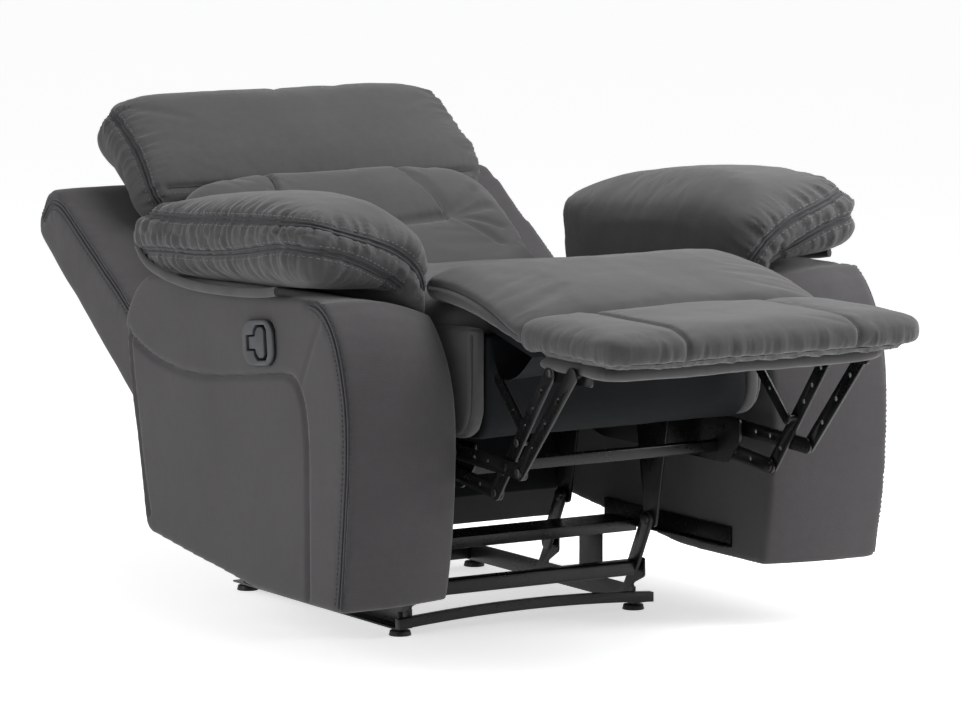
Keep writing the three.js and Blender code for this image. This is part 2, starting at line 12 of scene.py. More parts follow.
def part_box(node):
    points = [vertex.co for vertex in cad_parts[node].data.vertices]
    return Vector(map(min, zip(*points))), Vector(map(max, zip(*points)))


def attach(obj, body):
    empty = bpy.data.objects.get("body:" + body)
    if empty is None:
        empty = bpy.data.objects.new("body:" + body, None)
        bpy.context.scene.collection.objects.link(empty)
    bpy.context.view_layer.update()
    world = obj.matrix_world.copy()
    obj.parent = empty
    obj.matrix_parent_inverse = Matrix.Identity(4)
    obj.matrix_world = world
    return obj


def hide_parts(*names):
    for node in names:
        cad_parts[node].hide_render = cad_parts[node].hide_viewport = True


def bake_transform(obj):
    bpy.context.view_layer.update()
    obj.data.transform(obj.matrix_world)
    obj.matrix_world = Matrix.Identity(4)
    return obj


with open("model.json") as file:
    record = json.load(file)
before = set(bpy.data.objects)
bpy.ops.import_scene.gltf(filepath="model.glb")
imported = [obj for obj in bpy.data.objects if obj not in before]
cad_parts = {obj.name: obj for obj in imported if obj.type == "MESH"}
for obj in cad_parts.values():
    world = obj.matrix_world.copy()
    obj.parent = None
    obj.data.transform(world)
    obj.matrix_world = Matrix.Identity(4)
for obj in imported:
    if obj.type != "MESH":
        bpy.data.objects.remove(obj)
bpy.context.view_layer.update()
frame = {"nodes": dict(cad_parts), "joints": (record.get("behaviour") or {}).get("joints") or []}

scene = bpy.context.scene

# ---------------------------------------------------------------- room
# A wide pale floor under a soft sky, a large softbox overhead and one to the sitter's right, with a
# weaker one by the left arm. The camera looks down a little from ahead of the right arm.
scene.view_settings.view_transform = "Standard"

view_data = bpy.data.cameras.new("camera")
view_data.lens = 192.94
view_data.clip_end = 100
camera = bpy.data.objects.new("camera", view_data)
camera.location = (-4.2735, -6.8, 1.4544)
camera.rotation_euler = (math.radians(90 - 7.426), 0, math.radians(-31.9695))
scene.collection.objects.link(camera)
scene.camera = camera

sky = bpy.data.worlds.new("sky")
sky.use_nodes = True
sky.node_tree.nodes["Background"].inputs["Color"].default_value = (0.98, 0.99, 1, 1)
sky.node_tree.nodes["Background"].inputs["Strength"].default_value = 0.43
scene.world = sky


def softbox(name, place, aim, size, power):
    """A square soft light that faces a point."""
    light = bpy.data.lights.new(name, "AREA")
    light.size = size
    light.energy = power
    lamp = bpy.data.objects.new(name, light)
    lamp.location = place
    lamp.rotation_euler = (Vector(aim) - Vector(place)).to_track_quat("-Z", "Y").to_euler()
    scene.collection.objects.link(lamp)


softbox("overhead", (0.8, -0.6, 2.3), (0, -0.2, 0.4), 1.6, 66)
softbox("right_side", (-3.6, 0.4, 1.6), (0, 0, 0.4), 2.0, 56)
softbox("left_front", (2.0, -1.6, 1.2), (0.4, -0.3, 0.4), 1.0, 34)


class Tone:
    """A value that runs through a finish's nodes. Arithmetic on it adds Math nodes."""

    def __init__(self, finish, socket):
        self.finish = finish
        self.socket = socket

    def __add__(self, other):
        return self.finish.math("ADD", self, other)

    def __sub__(self, other):
        return self.finish.math("SUBTRACT", self, other)

    def __rsub__(self, other):
        return self.finish.math("SUBTRACT", other, self)

    def __mul__(self, other):
        return self.finish.math("MULTIPLY", self, other)

    def __pow__(self, other):
        return self.finish.math("POWER", self, other)

    __radd__ = __add__
    __rmul__ = __mul__


class Finish:
    """A procedural material: its shader, and one way to add any other node."""

    def __init__(self, name, constants):
        self.material = bpy.data.materials.new(name)
        self.material.use_nodes = True
        self.tree = self.material.node_tree
        self.shader = self.tree.nodes["Principled BSDF"]
        self.set(constants)
        self.place = self.node("TexCoord", output="Object")

    def set(self, values):
        for socket, value in values.items():
            self.feed(self.shader.inputs[socket], value)

    def feed(self, socket, value):
        if isinstance(value, Tone):
            self.tree.links.new(value.socket, socket)
        else:
            socket.default_value = value

    def node(self, kind, settings=None, inputs=None, output=0):
        made = self.tree.nodes.new("ShaderNode" + kind)
        for name, value in (settings or {}).items():
            setattr(made, name, value)
        for name, value in (inputs or {}).items():
            self.feed(made.inputs[name], value)
        return Tone(self, made.outputs[output])

    def math(self, operation, first, second):
        return self.node("Math", {"operation": operation}, {0: first, 1: second})

    def noise(self, scale, detail=2.0):
        """Soft noise between 0 and 1, scale to the metre."""
        return self.node("TexNoise", inputs={"Vector": self.place, "Scale": scale, "Detail": detail})

    def streaks(self, scales):
        """Noise drawn out along one direction, as long slubs of yarn are."""
        drawn = self.node("VectorMath", {"operation": "MULTIPLY"}, {0: self.place, 1: scales})
        return self.node("TexNoise", inputs={"Vector": drawn, "Scale": 1.0, "Detail": 2.0})

    def bands(self, direction, scale):
        settings = {"bands_direction": direction}
        return self.node("TexWave", settings, {"Vector": self.place, "Scale": scale}, output="Fac")

    def blend(self, factor, first, second):
        inputs = {0: factor, 6: (*first, 1), 7: (*second, 1)}
        return self.node("Mix", {"data_type": "RGBA"}, inputs, output=2)

    def clear_range(self, tone, low, high):
        """0 where the tone is below low, 1 where it is above high."""
        inputs = {"Value": tone, "From Min": low, "From Max": high}
        return self.node("MapRange", {"clamp": True}, inputs)

    def bump(self, height, depth, strength=1.0):
        inputs = {"Strength": strength, "Distance": depth, "Height": height}
        self.set({"Normal": self.node("Bump", inputs=inputs, output="Normal")})


FLOOR_SPAN = 120
floor_form = bmesh.new()
bmesh.ops.create_grid(floor_form, x_segments=1, y_segments=1, size=FLOOR_SPAN / 2)
floor_mesh = bpy.data.meshes.new("floor")
floor_form.to_mesh(floor_mesh)
floor_form.free()
floor = bpy.data.objects.new("floor", floor_mesh)
scene.collection.objects.link(floor)
pale = Finish("pale_floor", {"Base Color": (0.86, 0.86, 0.86, 1), "Roughness": 0.85})
pale.set({"Emission Color": (1, 1, 1, 1), "Emission Strength": 0.6})
floor_mesh.materials.append(pale.material)


# ---------------------------------------------------------------- steel frame and linkage
# The floor rails, carriers, seat plates and footrest links are pressed and folded steel, stamped,
# riveted at their pivots and powder coated satin black.
STEEL_NODES = (
    "floor_rail_left", "floor_rail_right", "front_cross_bar", "rear_cross_bar", "arm_stretcher",
    "arm_angle_iron_left", "arm_angle_iron_right", "front_carrier_left", "front_carrier_right",
    "rear_carrier_left", "rear_carrier_right", "carrier_cross_tube", "seat_plate_left",
    "seat_plate_right", "seat_springs", "back_bracket_left", "back_bracket_right", "rear_link_left",
    "rear_link_right", "outer_link_left", "outer_link_right", "front_link_left", "front_link_right",
    "inner_link_left", "inner_link_right", "calf_link_left", "calf_link_right", "link_cross_tube",
    "footrest_bracket_left", "footrest_bracket_right",
)


def powder_coat():
    """Satin black coating with a fine orange peel, a little dust and scuffs."""
    coat = Finish("black_powder_coat", {"Specular IOR Level": 0.3})
    dust = coat.clear_range(coat.noise(9, 5), 0.5, 0.78)
    scuff = coat.clear_range(coat.noise(140, 3), 0.64, 0.72)
    peel = coat.noise(700)
    worn = dust * 0.6 + scuff * 0.25
    coat.set({"Base Color": coat.blend(worn, (0.0025, 0.0027, 0.003), (0.014, 0.0145, 0.0155))})
    coat.set({"Roughness": 0.27 + dust * 0.2 + scuff * 0.1})
    coat.bump(peel, 0.00025)
    return coat.material


def dress(nodes, material, edge):
    """Gives carried-over nodes their finish, with softly rounded edges."""
    for name in nodes:
        node = frame["nodes"][name]
        node.data.materials.clear()
        node.data.materials.append(material)
        node.data.shade_smooth()
        weld = node.modifiers.new("weld", "WELD")
        weld.merge_threshold = 0.00001
        bevel = node.modifiers.new("edges", "BEVEL")
        bevel.width = edge
        bevel.segments = 2
        bevel.limit_method = "ANGLE"
        bevel.angle_limit = math.radians(40)
        split = node.modifiers.new("creases", "EDGE_SPLIT")
        split.split_angle = math.radians(38)


black_steel = powder_coat()
dress(STEEL_NODES, black_steel, 0.0006)


def new_piece(name, mesh, body, material, slot, *stood_for):
    """Puts a finished mesh on its body, in its finish."""
    piece = bpy.data.objects.new(name, mesh)
    scene.collection.objects.link(piece)
    mesh.materials.clear()
    mesh.materials.append(material)
    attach(piece, body)
    if stood_for:
        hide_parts(*stood_for)
    return piece


def mesh_of(name, form):
    """Turns a bmesh into a mesh with its faces outward."""
    bmesh.ops.recalc_face_normals(form, faces=form.faces)
    mesh = bpy.data.meshes.new(name)
    form.to_mesh(mesh)
    form.free()
    mesh.shade_smooth()
    return mesh


JOINT_AT = {joint["name"]: Vector(joint["pos_m"]) for joint in frame["joints"]}
SIDES = (("left", 1), ("right", -1))


def worn_zinc():
    """Passivated rivet heads, dulled by handling."""
    zinc = Finish("rivet_zinc", {"Metallic": 0.9})
    tarnish = zinc.noise(400, 3)
    zinc.set({"Base Color": zinc.blend(tarnish, (0.025, 0.025, 0.027), (0.09, 0.09, 0.095))})
    zinc.set({"Roughness": 0.3 + tarnish * 0.2})
    zinc.bump(tarnish, 0.0001)
    return zinc.material


def add_rivet(form, place, radius):
    """A low domed rivet head on the outer face of a link."""
    made = bmesh.ops.create_uvsphere(form, u_segments=16, v_segments=8, radius=radius)
    bmesh.ops.scale(form, vec=(0.2, 1, 1), verts=made["verts"])
    bmesh.ops.translate(form, vec=place, verts=made["verts"])


rivet_zinc = worn_zinc()
RIVET_RADIUS = 0.0065
RIVETS = {
    "rear_link": ("rear_links", ("footrest_fold", "knee_fold")),
    "outer_link": ("outer_links", ("knee_fold", "footrest_tilt", "calf_link_fold")),
    "front_link": ("front_links", ("front_link_fold", "inner_link_fold")),
    "inner_link": ("inner_links", ("inner_link_fold",)),
    "front_carrier": ("front_carriers", ("recline", "seat_swing")),
    "rear_carrier": ("rear_carriers", ("rear_carrier_swing",)),
    "seat_plate": ("seat", ("footrest_fold", "front_link_fold", "back_recline")),
}
for stem, (body, joints) in RIVETS.items():
    for side, sign in SIDES:
        low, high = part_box(f"{stem}_{side}")
        outer = high.x if sign > 0 else low.x
        rivets = bmesh.new()
        for joint in joints:
            spot = JOINT_AT[joint]
            add_rivet(rivets, (outer, spot.y, spot.z), RIVET_RADIUS)
        new_piece(f"{stem}_rivets_{side}", mesh_of("rivets", rivets), body, rivet_zinc, "black_steel")


# ---------------------------------------------------------------- glides
# Four round feet of hard black plastic, moulded on threaded studs and screwed up through the ends of
# the floor rails, so that the chair can be levelled.
def moulded_black():
    """Hard black moulding, dull with floor dust."""
    feet = Finish("glide_moulding", {"Specular IOR Level": 0.3})
    dust = feet.clear_range(feet.noise(60, 4), 0.45, 0.75)
    feet.set({"Base Color": feet.blend(dust, (0.007, 0.007, 0.0075), (0.035, 0.034, 0.032))})
    feet.set({"Roughness": 0.45 + dust * 0.35})
    feet.bump(feet.noise(1500), 0.0001)
    return feet.material


GLIDE_NODES = ("glide_front_left", "glide_front_right", "glide_rear_left", "glide_rear_right")
dress(GLIDE_NODES, moulded_black(), 0.0008)


# ---------------------------------------------------------------- linings
# The front of the seat box and the underside of the calf board are covered in plain
# black lining cloth, stapled at the back.
def lining_cloth():
    """Plain-woven slate black cloth."""
    cloth = Finish("black_lining", {"Specular IOR Level": 0.12})
    threads = cloth.bands("X", 190) + cloth.bands("Y", 190) + cloth.bands("Z", 190)
    slub = cloth.noise(45, 4)
    cloth.set({"Base Color": cloth.blend(slub, (0.0028, 0.0034, 0.004), (0.0055, 0.0068, 0.0078))})
    cloth.set({"Roughness": 0.62 + slub * 0.2})
    cloth.bump(threads * 0.3 + slub, 0.0005, 0.5)
    return cloth.material


black_lining = lining_cloth()
dress(("calf_board",), black_lining, 0.002)


# ---------------------------------------------------------------- arms
# Each arm is a boarded box wrapped in foam and brushed charcoal cloth: an outer side in two panels,
# a front face that rolls over towards the seat, and a double-needle seam down the outer front edge.
def brushed_cloth(name, shadow, light):
    """Suede-like microfibre: cloudy brushed nap over a very fine weave."""
    constants = {"Sheen Weight": 0.18, "Sheen Roughness": 0.45, "Specular IOR Level": 0.2}
    cloth = Finish(name, constants)
    cloud = cloth.noise(5, 4)
    mottle = cloth.noise(70, 3)
    fibre = cloth.noise(1100, 2)
    weave = cloth.bands("X", 230) + cloth.bands("Y", 230) + cloth.bands("Z", 230)
    slubs = cloth.streaks((330, 330, 22)) + cloth.streaks((330, 22, 330)) + cloth.streaks((22, 330, 330))
    tone = cloud * 0.36 + mottle * 0.18 + fibre * 0.16 + slubs * 0.1
    cloth.set({"Base Color": cloth.blend(cloth.clear_range(tone, 0.32, 0.68), shadow, light)})
    cloth.set({"Roughness": 0.78 + fibre * 0.2})
    cloth.bump(fibre * 0.6 + weave * 0.15 + mottle * 0.5, 0.0006, 0.55)
    return cloth.material


def twisted_thread(name, shadow, light):
    """Twisted thread or rolled cloth, slightly shiny. In near black, it is painted shade along the seams.
    """
    thread = Finish(name, {"Sheen Weight": 0.1, "Specular IOR Level": 0.3})
    twist = thread.noise(2200, 1)
    thread.set({"Base Color": thread.blend(twist, shadow, light)})
    thread.set({"Roughness": 0.55 + twist * 0.2})
    thread.bump(twist, 0.0002)
    return thread.material


charcoal = brushed_cloth("charcoal_cloth", (0.041, 0.0403, 0.041), (0.060, 0.0592, 0.060))
charcoal_warm = brushed_cloth("charcoal_cloth_warm", (0.038, 0.0358, 0.0373), (0.054, 0.051, 0.053))
stitch_grey = twisted_thread("stitch_grey", (0.085, 0.085, 0.09), (0.14, 0.14, 0.148))
stitch_dark = twisted_thread("stitch_dark", (0.018, 0.018, 0.020), (0.030, 0.030, 0.034))
# The seams' ridges and join cords are near black, much darker than the cloth: painted shade in the seams.
seam_painted_shade = twisted_thread("seam_painted_shade", (0.011, 0.011, 0.014), (0.024, 0.024, 0.029))


def worked(shape, *steps):
    """The mesh of a shape after some modifiers, each a kind and its settings."""
    helper = bpy.data.objects.new("helper", shape)
    scene.collection.objects.link(helper)
    for kind, settings in steps:
        modifier = helper.modifiers.new(kind.lower(), kind)
        for name, value in settings.items():
            setattr(modifier, name, value)
    depsgraph = bpy.context.evaluated_depsgraph_get()
    result = bpy.data.meshes.new_from_object(helper.evaluated_get(depsgraph), depsgraph=depsgraph)
    bpy.data.objects.remove(helper)
    return result


def evened(mesh, voxel, rounds):
    """The mesh in even small quads, its corners rounded by smoothing."""
    remesh = ("REMESH", {"mode": "VOXEL", "voxel_size": voxel})
    smooth = ("SMOOTH", {"factor": 0.5, "iterations": rounds})
    return worked(mesh, remesh, smooth)


def refined(mesh):
    return worked(mesh, ("SUBSURF", {"levels": 1, "render_levels": 1}))


def smooth_route(points, step):
    """Points every step or so along a smooth curve through the given ones."""
    knots = [Vector(point) for point in points]
    knots = [2 * knots[0] - knots[1], *knots, 2 * knots[-1] - knots[-2]]
    route = []
    for before, start, end, after in zip(knots, knots[1:], knots[2:], knots[3:]):
        count = max(2, math.ceil((end - start).length / step)) + 1
        leave = start + (end - before) / 6
        arrive = end - (after - start) / 6
        route += interpolate_bezier(start, leave, arrive, end, count)[:-1]
    return [*route, knots[-2]]


def evened_out(values, rounds):
    """A run of vectors with each one drawn towards its neighbours."""
    for _ in range(rounds):
        middle = [(a + 2 * b + c) / 4 for a, b, c in zip(values, values[1:], values[2:])]
        values = [values[0], *middle, values[-1]]
    return values


def surface_of(mesh):
    """The mesh's surface, ready to be asked for its nearest spot to a place."""
    places = [vertex.co for vertex in mesh.vertices]
    return BVHTree.FromPolygons(places, [face.vertices for face in mesh.polygons])


def tree_of(places):
    """Places, ready to be asked which of them is nearest."""
    tree = KDTree(len(places))
    for index, place in enumerate(places):
        tree.insert(place, index)
    tree.balance()
    return tree


def shift(mesh, moves):
    """Moves each vertex of the mesh by its own move."""
    for vertex, move in zip(mesh.vertices, moves):
        vertex.co += move


LAY_STEP = 0.004


def lay(mesh, points):
    """A seam laid on the cloth: its places, and the way outward at each."""
    tree = surface_of(mesh)
    places = smooth_route(points, LAY_STEP)
    for _ in range(4):
        found = [tree.find_nearest(place) for place in places]
        places = evened_out([place for place, _, _, _ in found], 12)
    outward = evened_out([normal for _, normal, _, _ in found], 20)
    return [(tree.find_nearest(place)[0], normal.normalized()) for place, normal in zip(places, outward)]


def seam_style(depth, width, gather, reach, pitch, rows, join=True):
    """How a seam is sewn: how deep and wide it draws the cloth in, how much the cloth gathers beside it
    and over what reach, the gathers' pitch, the rows of topstitching, and whether its join shows."""
    return {
        "depth": depth, "width": width, "gather": gather, "reach": reach, "pitch": pitch,
        "rows": rows, "join": join,
    }


DOUBLE = seam_style(0.0035, 0.010, 0.0010, 0.030, 0.016, 2)
GATHERED = seam_style(0.0045, 0.011, 0.0075, 0.036, 0.013, 2)
PLAIN = seam_style(0.0045, 0.0055, 0.0007, 0.020, 0.020, 0)
EDGE = seam_style(0.0030, 0.0060, 0.0012, 0.020, 0.014, 1)
CREASE = seam_style(0.0065, 0.0110, 0.0015, 0.030, 0.025, 0, join=False)
TAUT_BESIDE_SEAM = 0.012


def sew(mesh, seams):
    """Draws the cloth in along its seams and gathers it beside them. Gives the sewn lines."""
    lines = [(style, lay(mesh, points)) for style, points in seams]
    spots = []
    for seam, (style, line) in enumerate(lines):
        spots += [(place, style, seam, number * LAY_STEP) for number, (place, _) in enumerate(line)]
    tree = tree_of([spot[0] for spot in spots])
    moves = []
    for vertex in mesh.vertices:
        _, index, distance = tree.find(vertex.co)
        _, style, seam, run = spots[index]
        draw = style["depth"] * math.exp(-((distance / style["width"]) ** 2))
        ripple = noise.noise(Vector((run / style["pitch"], distance * 12, seam * 7.3)))
        ripple += 0.6 * noise.noise(Vector((run / style["pitch"] * 2.3, distance * 20, seam * 3.1)))
        near = 1 - 0.8 * math.exp(-((distance / TAUT_BESIDE_SEAM) ** 2))
        gather = style["gather"] * ripple * near * math.exp(-((distance / style["reach"]) ** 2))
        moves.append(vertex.normal * (gather - draw))
    shift(mesh, moves)
    mesh.update()
    return [(style, [(place - out * style["depth"], out) for place, out in line]) for style, line in lines]


def crumple(mesh, height, size, seed):
    """Slow unevenness of foam and fibre under the cloth."""
    moves = []
    for vertex in mesh.vertices:
        lump = noise.noise(vertex.co / size + Vector((seed, 0, 0)))
        fine = noise.noise(vertex.co / (size * 0.37) + Vector((0, seed, 0)))
        moves.append(vertex.normal * height * (lump + 0.35 * fine))
    shift(mesh, moves)


def cords(name, runs, radius, resolution):
    """Round cords along runs of points, as one closed mesh each."""
    curve = bpy.data.curves.new(name, "CURVE")
    curve.dimensions = "3D"
    curve.bevel_depth = radius
    curve.bevel_resolution = resolution
    curve.use_fill_caps = True
    for run in runs:
        spline = curve.splines.new("POLY")
        spline.points.add(len(run) - 1)
        for point, place in zip(spline.points, run):
            point.co = (*place, 1)
    mesh = worked(curve)
    mesh.shade_smooth()
    return mesh


ROPE_GAP = 0.0036
ROPE_RADIUS = 0.0022
JOIN_RADIUS = 0.0011
STITCH_ROW = 0.0098
STITCH_PITCH = 2
STITCH_RADIUS = 0.0007


def beside(line, offset, lift):
    """The line moved sideways along the cloth by offset and up off it by lift."""
    moved = []
    for number, (place, outward) in enumerate(line):
        ahead = line[min(number + 1, len(line) - 1)][0]
        behind = line[max(number - 1, 0)][0]
        across = outward.cross(ahead - behind).normalized()
        moved.append(place + across * offset + outward * lift)
    return moved


def topstitching(mesh, lines):
    """The twin ridges of the sewn lines, and a row of stitches on each side of them."""
    tree = surface_of(mesh)
    ridges = []
    joins = []
    stitches = []
    for style, line in lines:
        if style["rows"] == 2:
            ridges += [beside(line, side * ROPE_GAP, 0.0004) for side in (-1, 1)]
        elif style["join"]:
            joins.append(beside(line, 0, 0.0002))
        for side in {0: (), 1: (1,), 2: (-1, 1)}[style["rows"]]:
            row = [tree.find_nearest(place)[0] for place in beside(line, side * STITCH_ROW, 0.003)]
            for start in range(1, len(row) - 2, STITCH_PITCH):
                first, last = row[start], row[start].lerp(row[start + 1], 0.9)
                top = (first + last) / 2 + line[start][1] * 0.0008
                stitches.append([first, top, last])
    form = bmesh.new()
    for runs, radius in ((ridges, ROPE_RADIUS), (joins, JOIN_RADIUS)):
        if runs:
            form.from_mesh(cords("ridges", runs, radius, 1))
    return mesh_of("ridges", form), cords("stitches", stitches, STITCH_RADIUS, 0)


def topstitch(name, body, sewing, thread, place=Matrix()):
    """Puts a cover's ridges and stitches on the cover's body."""
    # Ridges and join cords take the near-black seam finish: painted shade along the seams.
    for part, mesh, finish in zip(("ridges", "stitches"), sewing, (seam_painted_shade, thread)):
        if len(mesh.vertices):
            mesh.transform(place)
            new_piece(f"{name}_{part}", mesh, body, finish, "upholstery")


SWELL_FRAMES = 20
WRINKLE_SHARE = 0.5  # how much of the swelling is the cloth's own, with its wrinkles
SEAM_HOLD_REACH = 0.007
SEAM_HOLD_SHARE = 0.45
PIN_FROM = 0.05


def stuffed(mesh, seams, swell):
    """The cover blown out by its filling. Its seams hold, and the cloth between them swells."""
    tree = tree_of([place for _, points in seams for place, _ in lay(mesh, points)])
    slack = []
    for axis in range(3):
        reach = [vertex.co[axis] for vertex in mesh.vertices]
        slack.append((min(reach), max(reach)))
    holds = [math.exp(-((tree.find(vertex.co)[2] / SEAM_HOLD_REACH) ** 2)) for vertex in mesh.vertices]
    even = [
        vertex.normal * swell * (1 - SEAM_HOLD_SHARE * hold) for vertex, hold in zip(mesh.vertices, holds)
    ]
    helper = bpy.data.objects.new("cover", mesh)
    scene.collection.objects.link(helper)
    sewn = helper.vertex_groups.new(name="sewn")
    for index, hold in enumerate(holds):
        if hold > PIN_FROM:
            sewn.add([index], hold, "REPLACE")
    cloth = helper.modifiers.new("filling", "CLOTH")
    cloth.settings.use_pressure = True
    cloth.settings.uniform_pressure_force = 4
    cloth.settings.effector_weights.gravity = 0
    cloth.settings.vertex_group_mass = "sewn"
    cloth.settings.shrink_min = -0.004
    cloth.collision_settings.use_collision = False
    cloth.point_cache.frame_end = SWELL_FRAMES
    for number in range(1, SWELL_FRAMES + 1):
        scene.frame_set(number)
    blown = helper.evaluated_get(bpy.context.evaluated_depsgraph_get()).data
    moves = [after.co - before.co for before, after in zip(mesh.vertices, blown.vertices)]
    bpy.data.objects.remove(helper)
    for vertex, move, plump in zip(mesh.vertices, moves, even):
        loose = move * min(1, swell / max(move.length, 1e-9))
        vertex.co += loose * WRINKLE_SHARE + plump * (1 - WRINKLE_SHARE)
    places = [vertex.co.copy() for vertex in mesh.vertices]
    for axis in range(3):
        low, high = slack[axis]
        reach = [place[axis] for place in places]
        grow = (high - low + 2 * swell) / (max(reach) - min(reach))
        for vertex, value in zip(mesh.vertices, reach):
            vertex.co[axis] = low - swell + (value - min(reach)) * grow
    mesh.update()
    scene.frame_set(1)


def mirrored(mesh):
    """The same piece for the other side of the chair."""
    other = mesh.copy()
    other.transform(Matrix.Scale(-1, 4, (1, 0, 0)))
    other.flip_normals()
    return other


arm_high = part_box("arm_outer_panel_left")[1]
ARM_INNER_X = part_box("arm_inner_panel_left")[0].x
ARM_ROLL_X = 0.45  # where the arm starts to roll over towards the seat
ROLL_BACK = 0.026
ROLL_DOWN = 0.034


def bend(start, leave, arrive, end, count=9):
    """Points along a curve on the side view, each a (y, z) pair, its last point left off."""
    knots = [Vector((0, *pair)) for pair in (start, leave, arrive, end)]
    return [(point.y, point.z) for point in interpolate_bezier(*knots, count)[:-1]]


ARM_SIDE = [
    *bend((-0.347, 0.100), (-0.368, 0.190), (-0.375, 0.270), (-0.375, 0.345)),
    *bend((-0.375, 0.345), (-0.375, 0.430), (-0.350, 0.550), (-0.262, 0.571)),
    *bend((0.240, 0.550), (0.278, 0.538), (0.306, 0.510), (0.321, 0.470)),
    (0.321, 0.470),
    (0.301, 0.350),
    *bend((0.261, 0.166), (0.259, 0.152), (0.250, 0.143), (0.236, 0.142), 5),
    (0.236, 0.142),
    (-0.090, 0.101),
]


def arm_form():
    """The left arm's box, drawn on its outer side and carried inward, rolling over at the front."""
    form = bmesh.new()
    face = form.faces.new([form.verts.new((arm_high.x, y, z)) for y, z in ARM_SIDE])
    rolled = 0
    for share in (0.02, 0.06, 0.14, 0.27, 0.45, 0.7, 1):
        x = ARM_ROLL_X + (ARM_INNER_X - ARM_ROLL_X) * share**0.5
        made = bmesh.ops.extrude_face_region(form, geom=[face])["geom"]
        moved = [item for item in made if isinstance(item, bmesh.types.BMVert)]
        face = next(item for item in made if isinstance(item, bmesh.types.BMFace))
        for vertex in moved:
            y, z = vertex.co.y, vertex.co.z
            vertex.co.x = x
            vertex.co.y += ROLL_BACK * (share - rolled) * min(1, max(0, (-0.2 - y) / 0.12))
            vertex.co.z -= ROLL_DOWN * (share - rolled) * min(1, max(0, (z - 0.40) / 0.12))
        rolled = share
    return mesh_of("arm", form)


ARM_FRONT_SEAM = [(arm_high.x + 0.002, y, z) for y, z in (
    (-0.341, 0.107), (-0.352, 0.190), (-0.363, 0.293), (-0.364, 0.396), (-0.346, 0.474),
    (-0.324, 0.518), (-0.293, 0.548), (-0.255, 0.562),
)]
ARM_INSET_SEAM = [(arm_high.x, y, z) for y, z in (
    (0.312, 0.452), (0.285, 0.440), (0.249, 0.427), (0.200, 0.416), (0.125, 0.409), (0.030, 0.413),
    (-0.090, 0.428), (-0.190, 0.441), (-0.214, 0.436), (-0.229, 0.421), (-0.242, 0.397),
    (-0.250, 0.340), (-0.253, 0.250), (-0.252, 0.112),
)]
ARM_REAR_SEAM = [(arm_high.x - 0.004, y, z) for y, z in (
    (0.245, 0.172), (0.268, 0.250), (0.287, 0.350), (0.306, 0.455),
)]
FLAT = {**PLAIN, "depth": 0.006, "width": 0.0048, "gather": 0.0002}
ARM_TUCK = [(arm_high.x, y, z) for y, z in (
    (-0.234, 0.432), (-0.255, 0.470), (-0.278, 0.510), (-0.294, 0.536),
)]
TUCK = {**FLAT, "depth": 0.0018, "join": False}
ARM_SEAMS = [(DOUBLE, ARM_FRONT_SEAM), (FLAT, ARM_INSET_SEAM), (FLAT, ARM_REAR_SEAM), (TUCK, ARM_TUCK)]

arm_cover = evened(arm_form(), 0.0042, 14)
crumple(arm_cover, 0.0012, 0.16, 3)
arm_sewing = topstitching(arm_cover, sew(arm_cover, ARM_SEAMS))

# ---------------------------------------------------------------- release handle
# A moulded cup screwed into the outer side of the right arm, with a T-shaped pull lever that turns on
# an upright pin at the back of the cup and pulls the release cable.
def moulded_grey():
    """Spark-eroded dark grey plastic, polished a little by fingers."""
    plastic = Finish("handle_moulding", {"Specular IOR Level": 0.5})
    grain = plastic.noise(1800, 2)
    rubbed = plastic.clear_range(plastic.noise(30, 3), 0.4, 0.7)
    plastic.set({"Base Color": plastic.blend(rubbed, (0.020, 0.0225, 0.026), (0.029, 0.032, 0.037))})
    plastic.set({"Roughness": 0.52 - rubbed * 0.14})
    plastic.bump(grain, 0.00015)
    return plastic.material


dark_plastic = moulded_grey()
CUP_MIDDLE = Vector((0, -0.117, 0.481))
CUP_TILT = math.radians(-6.3)
AT_HANDLE = Matrix.Translation(CUP_MIDDLE) @ Matrix.Rotation(CUP_TILT, 4, "X")


def rounded_ring(form, x, half_y, half_z, radius, count=6):
    """The vertices of a rectangle with round corners, facing along X."""
    ring = []
    for turn, (sign_y, sign_z) in enumerate(((1, 1), (-1, 1), (-1, -1), (1, -1))):
        for number in range(count + 1):
            angle = math.pi / 2 * (turn + number / count)
            y = sign_y * (half_y - radius) + radius * math.cos(angle)
            z = sign_z * (half_z - radius) + radius * math.sin(angle)
            ring.append(form.verts.new((x, y, z)))
    return ring


def ring_edges(form, ring):
    """The edges round a ring of vertices."""
    pairs = zip(ring, ring[1:] + ring[:1])
    return [form.edges.get(pair) or form.edges.new(pair) for pair in pairs]


def tower(form, rings):
    """A stepped shell of rounded rectangles, closed at its first. Gives the edges of its open end."""
    loops = [rounded_ring(form, *ring) for ring in rings]
    form.faces.new(loops[0])
    edges = [ring_edges(form, loop) for loop in loops]
    for first, second in zip(edges, edges[1:]):
        bmesh.ops.bridge_loops(form, edges=first + second)
    return edges[-1]


pocket_form = bmesh.new()
pocket_rings = [(-0.46, 0.0425, 0.0325, 0.016), (-0.52, 0.0425, 0.0325, 0.016)]
pocket_mouth = tower(pocket_form, pocket_rings)
bmesh.ops.contextual_create(pocket_form, geom=pocket_mouth)
pocket_mesh = mesh_of("pocket", pocket_form)
pocket_mesh.transform(AT_HANDLE)
pocket = bpy.data.objects.new("pocket", pocket_mesh)
scene.collection.objects.link(pocket)
arm_right = worked(
    mirrored(arm_cover), ("BOOLEAN", {"operation": "DIFFERENCE", "object": pocket, "solver": "EXACT"})
)
bpy.data.objects.remove(pocket)

ARM_BOARDS = ("outer_panel", "inner_panel", "front_panel", "top_and_rear")
arm_sewing_right = [mirrored(mesh) for mesh in arm_sewing]
for side, cover, sewing in (("left", arm_cover, arm_sewing), ("right", arm_right, arm_sewing_right)):
    cover.shade_smooth()
    boards = [f"arm_{board}_{side}" for board in ARM_BOARDS]
    arm = new_piece(f"arm_cover_{side}", cover, "base", charcoal_warm, "upholstery", *boards)
    topstitch(f"arm_{side}", "base", sewing, stitch_dark)

